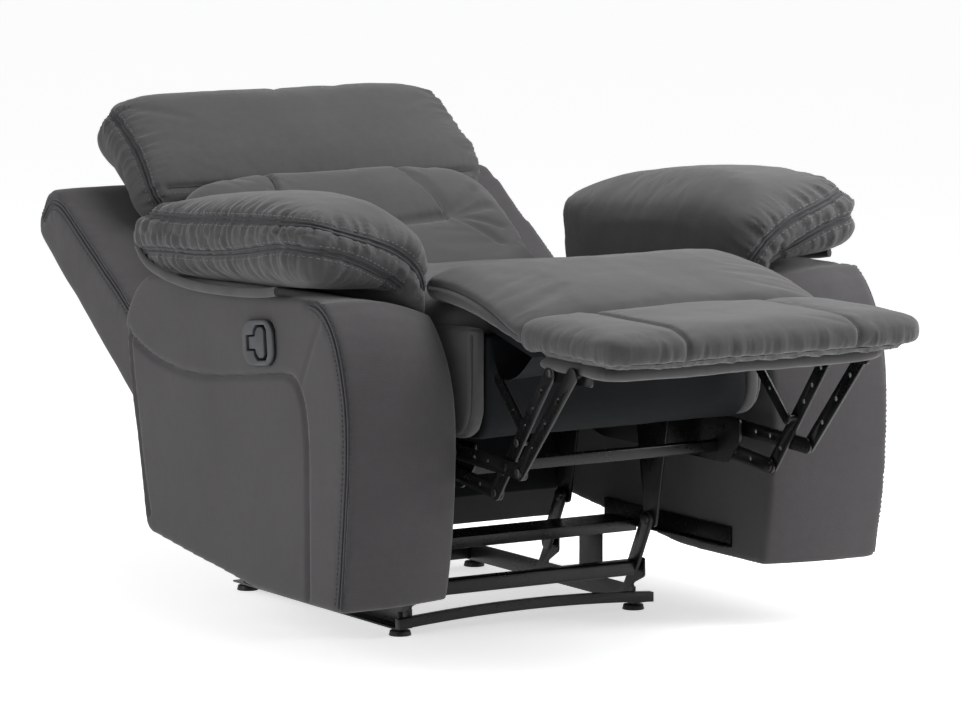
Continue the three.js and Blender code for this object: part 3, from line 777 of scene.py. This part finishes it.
BEZEL_FACE = -0.4985
POCKET_DEPTH = 0.030
T_OPENING = (
    (-0.0300, -0.0190), (-0.0235, -0.0270), (0.0020, -0.0270), (0.0105, -0.0195), (0.0125, -0.0120),
    (0.0335, -0.0120), (0.0335, 0.0120), (0.0125, 0.0120), (0.0105, 0.0195), (0.0020, 0.0270),
    (-0.0235, 0.0270), (-0.0300, 0.0190),
)
cup_form = bmesh.new()
bezel_rim = tower(cup_form, [
    (-0.4620, 0.0400, 0.0300, 0.0150),
    (-0.4905, 0.0415, 0.0315, 0.0155),
    (-0.4935, 0.0462, 0.0352, 0.0260),
    (BEZEL_FACE + 0.0020, 0.0462, 0.0352, 0.0260),
    (BEZEL_FACE, 0.0440, 0.0330, 0.0240),
])
opening_rim = ring_edges(cup_form, [cup_form.verts.new((BEZEL_FACE, y, z)) for y, z in T_OPENING])
bmesh.ops.triangle_fill(cup_form, use_beauty=True, edges=bezel_rim + opening_rim)
cup_made = bmesh.ops.extrude_edge_only(cup_form, edges=opening_rim)["geom"]
cup_floor = [item for item in cup_made if isinstance(item, bmesh.types.BMVert)]
bmesh.ops.translate(cup_form, vec=(POCKET_DEPTH, 0, 0), verts=cup_floor)
floor_edges = [edge for edge in cup_form.edges if all(vertex in cup_floor for vertex in edge.verts)]
bmesh.ops.triangle_fill(cup_form, use_beauty=True, edges=floor_edges)
edge_rounding = {"width": 0.0010, "segments": 2, "limit_method": "ANGLE"}
cup_mesh = worked(mesh_of("cup", cup_form), ("BEVEL", edge_rounding))
cup_mesh.transform(AT_HANDLE)
new_piece("handle_cup", cup_mesh, "base", dark_plastic, "handle_plastic", "handle_housing")



def slab(outline, x, thickness):
    """An outline of (y, z) pairs drawn at x and carried across the chair by thickness."""
    form = bmesh.new()
    face = form.faces.new([form.verts.new((x, y, z)) for y, z in outline])
    made = bmesh.ops.extrude_face_region(form, geom=[face])["geom"]
    moved = [item for item in made if isinstance(item, bmesh.types.BMVert)]
    bmesh.ops.translate(form, vec=(thickness, 0, 0), verts=moved)
    return form


T_OUTLINE = (
    (-0.017, -0.0190), (-0.012, -0.0235), (0.000, -0.0235), (0.008, -0.0165), (0.010, -0.0095),
    (0.028, -0.0095), (0.028, 0.0095), (0.010, 0.0095), (0.008, 0.0165), (0.000, 0.0235),
    (-0.012, 0.0235), (-0.017, 0.0190),
)
lever_form = slab(T_OUTLINE, -0.4965, 0.008)
bmesh.ops.triangulate(lever_form, faces=list(lever_form.faces), ngon_method="EAR_CLIP")
rounding = {"width": 0.0014, "segments": 2, "limit_method": "ANGLE"}
lever_mesh = worked(mesh_of("lever", lever_form), ("BEVEL", rounding))
lever_mesh.transform(AT_HANDLE)
new_piece("pull_lever", lever_mesh, "handle", dark_plastic, "handle_plastic", "handle_lever")
dress(("release_cable",), dark_plastic, 0.0001)


# ---------------------------------------------------------------- arm pads
# A pillow on each arm top, blown fibre in brushed cloth. A gathered border runs between two
# double-needle seams round the outer side and both ends, and the inner side drapes over the arm.
def pillow_form(middle, half, plan, section, shape=None):
    """A closed crowned form: its plan and its section pressed towards square, then shaped."""
    form = bmesh.new()
    bmesh.ops.create_cube(form, size=2)
    bmesh.ops.subdivide_edges(form, edges=form.edges, cuts=15, use_grid_fill=True)
    for vertex in form.verts:
        across = (abs(vertex.co.x) ** plan + abs(vertex.co.y) ** plan) ** (1 / plan)
        vertex.co *= (across**section + abs(vertex.co.z) ** section) ** (-1 / section)
        if shape:
            shape(vertex.co)
    bmesh.ops.scale(form, vec=half, verts=form.verts)
    bmesh.ops.translate(form, vec=middle, verts=form.verts)
    return mesh_of("pillow", form)


def ramp(value, start, end):
    """0 at start, 1 at end, eased between."""
    share = min(1, max(0, (value - start) / (end - start)))
    return share * share * (3 - 2 * share)


def arm_pad_shape(spot):
    """The pad's own bends, on a form two units across each way."""
    inner = ramp(-spot.x, 0.35, 0.95)
    front = ramp(-spot.y, 0.55, 1)
    spot.z -= inner * (0.30 + 1.30 * ramp(-spot.z, -0.2, 0.8))
    spot.z -= 0.26 * front * (1 - 0.85 * ramp(spot.x, -0.4, 0.8))
    spot.z -= ramp(spot.y, -0.5, 1) * (0.25 + 0.25 * ramp(spot.z, -0.4, 0.8))
    spot.x -= 0.04 * front


pad_low, pad_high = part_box("arm_pad_left")
pad_middle = (pad_low + pad_high) / 2
PAD_SWELL = 0.010
pad_half = (pad_high - pad_low) / 2 + Vector((0.004, 0.022, -0.001))
pad_half -= Vector((PAD_SWELL, PAD_SWELL, PAD_SWELL))
PAD_UPPER_SEAM = [
    (0.295, -0.262, 0.560), (0.315, -0.280, 0.600), (0.370, -0.285, 0.636), (0.440, -0.275, 0.660),
    (0.495, -0.235, 0.672), (0.512, -0.120, 0.668), (0.516, 0.020, 0.660), (0.514, 0.140, 0.654),
    (0.498, 0.235, 0.648), (0.445, 0.270, 0.640), (0.370, 0.278, 0.615), (0.305, 0.262, 0.575),
]
PAD_LOWER_SEAM = [
    (0.335, -0.268, 0.570), (0.395, -0.272, 0.605), (0.455, -0.262, 0.628), (0.500, -0.222, 0.636),
    (0.514, -0.110, 0.618), (0.518, 0.020, 0.601), (0.514, 0.140, 0.596), (0.498, 0.235, 0.590),
    (0.445, 0.268, 0.580), (0.380, 0.270, 0.560),
]
PAD_SEAMS = [(GATHERED, PAD_UPPER_SEAM), (GATHERED, PAD_LOWER_SEAM)]
pad_cover = evened(pillow_form(pad_middle, pad_half, 8, 3.3, arm_pad_shape), 0.006, 4)
stuffed(pad_cover, PAD_SEAMS, PAD_SWELL)
pad_cover = refined(pad_cover)
crumple(pad_cover, 0.0022, 0.09, 11)
pad_sewing = topstitching(pad_cover, sew(pad_cover, PAD_SEAMS))

FLAP_RUN = [(0.506, y, z) for y, z in (
    (0.245, 0.592), (0.225, 0.574), (0.190, 0.560), (0.120, 0.549), (0.030, 0.546), (-0.080, 0.550),
    (-0.150, 0.556), (-0.190, 0.562),
)]


def flap_mesh():
    """A folded lip of cloth, taller than it is thick, along the foot of the pad."""
    route = smooth_route(FLAP_RUN, 0.004)
    mesh = cords("flap", [route], 0.0042, 3)
    tree = tree_of(route)
    for vertex in mesh.vertices:
        middle = tree.find(vertex.co)[0]
        vertex.co.z = middle.z + 0.004 + (vertex.co.z - middle.z) * 1.8
        vertex.co.x += noise.noise(Vector((vertex.co.y / 0.05, 0, 5))) * 0.0015
    return mesh


pad_flap = flap_mesh()
BOTH_HANDS = (("left", lambda mesh: mesh), ("right", mirrored))
for side, pick in BOTH_HANDS:
    cover = pick(pad_cover)
    pad = new_piece(f"arm_pad_cover_{side}", cover, "base", charcoal, "upholstery", f"arm_pad_{side}")
    cover.shade_smooth()
    topstitch(f"arm_pad_{side}", "base", [pick(mesh) for mesh in pad_sewing], stitch_grey)
    new_piece(f"arm_pad_flap_{side}", pick(pad_flap), "base", charcoal, "upholstery")


# ---------------------------------------------------------------- seat
# A foam seat over zigzag springs. Padded borders cover both sides of the seat box, and a drum of
# black lining closes its front.
def upholster(
    name, form, body, seams, stood_for, swell,
    voxel=0.006, rounds=4, place=Matrix(), finish=charcoal,
):
    """Stuffs, sews and topstitches one cover, and puts it on its body."""
    mesh = evened(form, voxel, rounds)
    if swell:
        stuffed(mesh, seams, swell)
    mesh = refined(mesh)
    crumple(mesh, 0.0018, 0.11, len(name))
    lines = sew(mesh, seams)
    mesh.shade_smooth()
    thread = stitch_grey if finish == charcoal else stitch_dark
    topstitch(name, body, topstitching(mesh, lines), thread, place)
    mesh.transform(place)
    cover = new_piece(f"{name}_cover", mesh, body, finish, "upholstery", *stood_for)
    return cover


seat_low, seat_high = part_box("seat_cushion")
SEAT_SWELL = 0.014
SEAT_REAR_Y = 0.120
seat_middle = Vector((0, (seat_low.y + SEAT_REAR_Y) / 2, (seat_low.z + seat_high.z) / 2 - 0.006))
seat_half = Vector((seat_high.x, (SEAT_REAR_Y - seat_low.y) / 2, 0.056)) - Vector((0.012, 0.012, 0.012))
SEAT_SEAMS = [
    (EDGE, [(sign * 0.205, y, 0.57) for y in (0.12, 0.05, -0.05, -0.15, -0.25, -0.31)]) for _, sign in SIDES
]
seat_form = pillow_form(seat_middle, seat_half, 9, 5)
upholster("seat", seat_form, "seat", SEAT_SEAMS, ["seat_cushion"], SEAT_SWELL)

side_low, side_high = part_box("seat_side_rail_left")


def border_form():
    """A padded slab on the left side of the seat box, round at its front foot."""
    y, z = side_low.y, side_low.z + 0.002
    y_rear, z_high = side_high.y, side_high.z + 0.055
    foot = bend((y, z + 0.06), (y, z + 0.02), (y + 0.02, z), (y + 0.06, z), 8)
    outline = [*foot, (y + 0.06, z), (y_rear, z), (y_rear, z_high), (y, z_high)]
    return mesh_of("border", slab(outline, side_low.x, side_high.x - side_low.x))


BORDER_SEAM = [(0.262, y, z) for y, z in (
    (-0.351, 0.500), (-0.352, 0.430), (-0.348, 0.380), (-0.325, 0.344), (-0.27, 0.337),
)]
border_cover = refined(evened(border_form(), 0.006, 8))
crumple(border_cover, 0.001, 0.1, 4)
border_joins = topstitching(border_cover, sew(border_cover, [(PLAIN, BORDER_SEAM)]))
for side, pick in BOTH_HANDS:
    cover = pick(border_cover)
    rail = f"seat_side_rail_{side}"
    border = new_piece(f"seat_border_{side}", cover, "seat", charcoal, "upholstery", rail)
    cover.shade_smooth()
    topstitch(f"seat_border_{side}", "seat", [pick(mesh) for mesh in border_joins], stitch_dark)

drum_low, drum_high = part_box("seat_front_rail")


def drum_form():
    """The lined front of the seat box, rolled under at its foot."""
    y, z = drum_low.y, drum_low.z
    under = bend((y, z + 0.05), (y, z + 0.02), (y + 0.02, z), (y + 0.05, z), 8)
    outline = [
        *under, (y + 0.05, z), (y + 0.30, z), (y + 0.30, z + 0.02), (y + 0.03, z + 0.03),
        (y + 0.03, drum_high.z), (y, drum_high.z),
    ]
    return mesh_of("drum", slab(outline, drum_low.x, drum_high.x - drum_low.x))


drum_cover = evened(drum_form(), 0.006, 5)
crumple(drum_cover, 0.0025, 0.13, 8)
drum_cover.shade_smooth()
new_piece("seat_front_lining", drum_cover, "seat", black_lining, "lining", "seat_front_rail")


# ---------------------------------------------------------------- back
# A boarded back wrapped in brushed cloth, its wings seamed like the arm fronts, with a tufted lumbar
# cushion and a headrest cushion sewn on. It is worked level and then leaned back on its hinge.
BACK_SLOPE = math.radians(36.2)
hinge = JOINT_AT["back_recline"]
LEAN = Matrix.Translation((0, hinge.y, hinge.z)) @ Matrix.Rotation(BACK_SLOPE, 4, "X")
SHELL_X = 0.418
SHELL_SIDE = [
    (0.088, -0.141), (0.155, -0.022), (0.316, -0.015), (0.590, -0.034), (0.614, -0.044), (0.627, -0.064),
    (0.624, -0.120), (0.604, -0.141),
]


SHELL_SEAMS = []
for _, sign in SIDES:
    wing = [(sign * SHELL_X, along, outward) for along, outward in (
        (0.118, -0.110), (0.170, -0.040), (0.230, -0.033), (0.316, -0.031), (0.450, -0.040),
        (0.575, -0.050), (0.606, -0.070), (0.610, -0.110),
    )]
    SHELL_SEAMS.append((DOUBLE, wing))
SHELL_SEAMS.append((PLAIN, [(x, 0.565, -0.142) for x in (-0.38, -0.2, 0, 0.2, 0.38)]))
shell_form = mesh_of("shell", slab(SHELL_SIDE, -SHELL_X, 2 * SHELL_X))
upholster(
    "back_shell", shell_form, "back", SHELL_SEAMS, ["back_board", "back_wing_left", "back_wing_right"],
    0, voxel=0.008, rounds=9, place=LEAN, finish=charcoal_warm,
)


def lumbar_shape(spot):
    """Fuller at the small of the back and at the shoulders than at the tufts between them."""
    front = ramp(spot.z, 0, 1)
    spot.z -= 0.10 * front * math.exp(-(((spot.y - 0.36) / 0.16) ** 2)) * (1 - ramp(abs(spot.x), 0.55, 1))
    spot.z -= 0.12 * front * ramp(abs(spot.x), 0.7, 1)
    spot.z += 0.10 * front * math.exp(-(((spot.y + 0.35) / 0.4) ** 2))


TUFT_X = 0.150
TUFT = 0.331
lumbar_middle = Vector((0, 0.253, 0.045))
lumbar_half = Vector((0.277, 0.214, 0.058))
tuft_line = [
    (x, TUFT - 0.012 * (1 - (x / TUFT_X) ** 2), 0.11) for x in (-0.15, -0.10, -0.05, 0, 0.05, 0.10, 0.15)
]
TUFT_FOLD = {**CREASE, "depth": 0.0028, "width": 0.010, "gather": 0.0006}
LUMBAR_SEAMS = [(CREASE, tuft_line)]
for _, sign in SIDES:
    tuft = (sign * TUFT_X, TUFT, 0.10)
    seam = [(sign * 0.122, 0.462, 0.09), (sign * 0.134, 0.425, 0.11), (sign * 0.147, 0.380, 0.11), tuft]
    LUMBAR_SEAMS.append((PLAIN, seam))
    for spread, rise in ((0.075, 0.062), (0.085, 0.020), (0.080, -0.030), (0.055, -0.075)):
        middle = (sign * (TUFT_X + spread / 2), TUFT + rise * 0.35, 0.10)
        end = (sign * (TUFT_X + spread), TUFT + rise, 0.09)
        LUMBAR_SEAMS.append((TUFT_FOLD, [tuft, middle, end]))
lumbar_form = pillow_form(lumbar_middle, lumbar_half, 7, 4, lumbar_shape)
upholster("lumbar", lumbar_form, "back", LUMBAR_SEAMS, ["lumbar_cushion"], 0.018, place=LEAN)


def headrest_shape(spot):
    """Tucked in where it meets the lumbar cushion, full at the crown, rolled back at the top."""
    front = ramp(spot.z, -0.2, 1)
    spot.z -= 0.22 * front * ramp(-spot.y, 0.4, 1)
    spot.z -= 0.15 * front * ramp(spot.y, 0.5, 1)
    spot.y -= 0.10 * spot.x**4 * ramp(spot.y, 0, 1)


head_middle = Vector((0, 0.590, 0.026))
head_half = Vector((0.314, 0.116, 0.061))
HEAD_SEAMS = []
for _, sign in SIDES:
    side_seam = [
        (sign * 0.298, 0.482, 0.030), (sign * 0.312, 0.505, 0.052), (sign * 0.316, 0.560, 0.066),
        (sign * 0.316, 0.620, 0.068), (sign * 0.310, 0.668, 0.060), (sign * 0.302, 0.692, 0.040),
        (sign * 0.300, 0.698, 0.010),
    ]
    HEAD_SEAMS.append((GATHERED, side_seam))
HEAD_SEAMS.append((EDGE, [(x, 0.484, 0.060) for x in (0.29, 0.2, 0.1, 0, -0.1, -0.2, -0.29)]))
head_form = pillow_form(head_middle, head_half, 9, 4.6, headrest_shape)
upholster("headrest", head_form, "back", HEAD_SEAMS, ["headrest_cushion"], 0.014, place=LEAN)


# ---------------------------------------------------------------- seat to back bridge
# The deck cloth runs up from the seat to the foot of the lumbar cushion over a soft roll.
bridge_middle = Vector((0, 0.185, 0.462))
bridge_half = Vector((0.262, 0.115, 0.040))
bridge = evened(pillow_form(bridge_middle, bridge_half, 5, 3), 0.008, 3)
bridge = refined(bridge)
crumple(bridge, 0.003, 0.09, 21)
bridge.shade_smooth()
bridge.materials.append(charcoal)
deck = bpy.data.objects.new("seat_back_bridge", bridge)
scene.collection.objects.link(deck)
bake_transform(deck)


# ---------------------------------------------------------------- rear cover
# Charcoal cloth closes the chair low down between the arms at the rear, under a black dust cover that
# hangs in front of it. The black cover is partly painted shade, darkening the view under the seat.
def hanging(name, half_x, top, foot, finish, slot):
    """A strip of cloth stapled along its top edge, stirring a little below."""
    form = bmesh.new()
    bmesh.ops.create_grid(form, x_segments=70, y_segments=16, size=1)
    for vertex in form.verts:
        drop = (1 - vertex.co.y) / 2
        wave = noise.noise(Vector((vertex.co.x * 3.5, drop, top.z * 9)))
        spot = top.lerp(foot, drop)
        vertex.co = Vector((vertex.co.x * half_x, spot.y + 0.003 * drop * wave, spot.z))
    bmesh.ops.solidify(form, geom=list(form.faces), thickness=0.0018)
    strip = new_piece(name, mesh_of(name, form), "base", finish, slot)


COVER_TOP, COVER_FOOT = Vector((0, 0.272, 0.215)), Vector((0, 0.252, 0.106))
DUST_AND_SHADE_TOP, DUST_AND_SHADE_FOOT = Vector((0, 0.278, 0.300)), Vector((0, 0.254, 0.150))
hanging("rear_cover", 0.283, COVER_TOP, COVER_FOOT, charcoal_warm, "upholstery")
# The black dust cover is partly a dust cover and partly painted shade: a black sheet where shade falls
# under the seat.
hanging("rear_dust_cover_and_shade", 0.280, DUST_AND_SHADE_TOP, DUST_AND_SHADE_FOOT, black_lining, "lining")


# ---------------------------------------------------------------- footrest
# A padded board in brushed cloth, in three sewn panels with a gathered welt round its foot. A thinner
# padded underlay is stapled up under the board and hides it.
foot_low, foot_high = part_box("footrest_pad")
foot_middle = (foot_low + foot_high) / 2
foot_half = (foot_high - foot_low) / 2 - Vector((0, -0.002, 0.008))


def footrest_shape(spot):
    """Thick along its front lip and thin at the rear."""
    spot.z += 0.10 * ramp(spot.y, 0.2, 1) - 0.30 * ramp(-spot.y, 0.75, 1) * ramp(spot.z, 0, 1)


FOOT_SEAMS = []
for _, sign in SIDES:
    panel_seam = [
        (sign * 0.150, -0.505, 0.552), (sign * 0.150, -0.580, 0.556), (sign * 0.150, -0.660, 0.556),
        (sign * 0.150, -0.715, 0.550), (sign * 0.150, -0.742, 0.530), (sign * 0.150, -0.748, 0.505),
    ]
    FOOT_SEAMS.append(({**PLAIN, "depth": 0.004, "width": 0.0038}, panel_seam))
WELT = [
    (0.245, -0.505, 0.494), (0.268, -0.560, 0.494), (0.268, -0.690, 0.494), (0.250, -0.738, 0.494),
    (0.200, -0.748, 0.494), (0, -0.750, 0.494), (-0.200, -0.748, 0.494), (-0.250, -0.738, 0.494),
    (-0.268, -0.690, 0.494), (-0.268, -0.560, 0.494), (-0.245, -0.505, 0.494),
]
FOOT_SEAMS.append(({**EDGE, "gather": 0.0045, "reach": 0.026, "pitch": 0.012}, WELT))
foot_form = pillow_form(foot_middle, foot_half, 11, 5, footrest_shape)
upholster("footrest", foot_form, "footrest", FOOT_SEAMS, ["footrest_pad"], 0.010, voxel=0.005)
underlay_form = pillow_form(Vector((0, -0.598, 0.477)), Vector((0.256, 0.098, 0.014)), 10, 4)
underlay = refined(evened(underlay_form, 0.006, 2))
crumple(underlay, 0.0015, 0.07, 31)
underlay.shade_smooth()
under = new_piece("footrest_underlay", underlay, "footrest", charcoal, "upholstery", "footrest_board")


# ---------------------------------------------------------------- calf pad
# The middle pad of the chaise: it lies on the seat's front edge and on the calf board.
# A lined sling hangs beneath it.
CALF_REAR_Y = -0.226
CALF_FRONT_Y = -0.512
calf_middle = Vector((0, (CALF_REAR_Y + CALF_FRONT_Y) / 2, 0.553))
calf_half = Vector((0.272, (CALF_REAR_Y - CALF_FRONT_Y) / 2 - 0.006, 0.026))


def calf_shape(spot):
    """Crowned over the seat's edge and falling away to the footrest."""
    spot.z += 0.95 * spot.y - 0.42 * spot.y**2 - 0.35 * ramp(abs(spot.x), 0.8, 1) * ramp(spot.z, -0.5, 0.5)


CALF_SEAMS = []
for _, sign in SIDES:
    edge_seam = [
        (sign * 0.274, -0.250, 0.568), (sign * 0.278, -0.330, 0.568), (sign * 0.278, -0.390, 0.556),
        (sign * 0.278, -0.440, 0.538), (sign * 0.272, -0.490, 0.516),
    ]
    CALF_SEAMS.append((PLAIN, edge_seam))
CALF_SEAMS.append((EDGE, [(x, -0.240, 0.578) for x in (-0.24, -0.12, 0, 0.12, 0.24)]))
calf_mesh = evened(pillow_form(calf_middle, calf_half, 14, 4.5, calf_shape), 0.006, 3)
stuffed(calf_mesh, CALF_SEAMS, 0.010)
calf_mesh = refined(calf_mesh)
crumple(calf_mesh, 0.0022, 0.10, 17)
calf_lines = sew(calf_mesh, CALF_SEAMS)
calf_mesh.shade_smooth()
calf_sewing = topstitching(calf_mesh, calf_lines)


def bending(name, mesh, finish):
    """A piece put in the scene in its finish, its placing baked into its mesh."""
    piece = bpy.data.objects.new(name, mesh)
    scene.collection.objects.link(piece)
    mesh.materials.clear()
    mesh.materials.append(finish)
    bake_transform(piece)
    return piece


calf = bending("calf_cover", calf_mesh, charcoal)
# Ridges and join cords take the near-black seam finish: painted shade along the seams.
for part, mesh, thread in zip(("ridges", "stitches"), calf_sewing, (seam_painted_shade, stitch_grey)):
    bending(f"calf_{part}", mesh, thread)
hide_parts("calf_pad")

SLING_POINTS = [
    (0, -0.352, 0.495), (0, -0.362, 0.455), (0, -0.385, 0.438), (0, -0.420, 0.446), (0, -0.455, 0.472),
    (0, -0.476, 0.492),
]
SLING_X = 0.228
sling_route = smooth_route(SLING_POINTS, 0.010)
SLING_LENGTH = sum((b - a).length for a, b in zip(sling_route, sling_route[1:]))
sling_form = bmesh.new()
sling_verts = [sling_form.verts.new((-SLING_X, place.y, place.z)) for place in sling_route]
sling_edges = [sling_form.edges.new(pair) for pair in zip(sling_verts, sling_verts[1:])]
SLING_STRIPS = 46
for _ in range(SLING_STRIPS):
    made = bmesh.ops.extrude_edge_only(sling_form, edges=sling_edges)["geom"]
    moved = [item for item in made if isinstance(item, bmesh.types.BMVert)]
    bmesh.ops.translate(sling_form, vec=(2 * SLING_X / SLING_STRIPS, 0, 0), verts=moved)
    drawn = [item for item in made if isinstance(item, bmesh.types.BMEdge)]
    sling_edges = [edge for edge in drawn if all(vertex in moved for vertex in edge.verts)]
for vertex in sling_form.verts:
    vertex.co.z += 0.003 * noise.noise(Vector((vertex.co.x / 0.05, vertex.co.y / 0.2, 9)))
sling_mesh = mesh_of("sling", sling_form)
sling = bending("calf_sling", sling_mesh, black_lining)
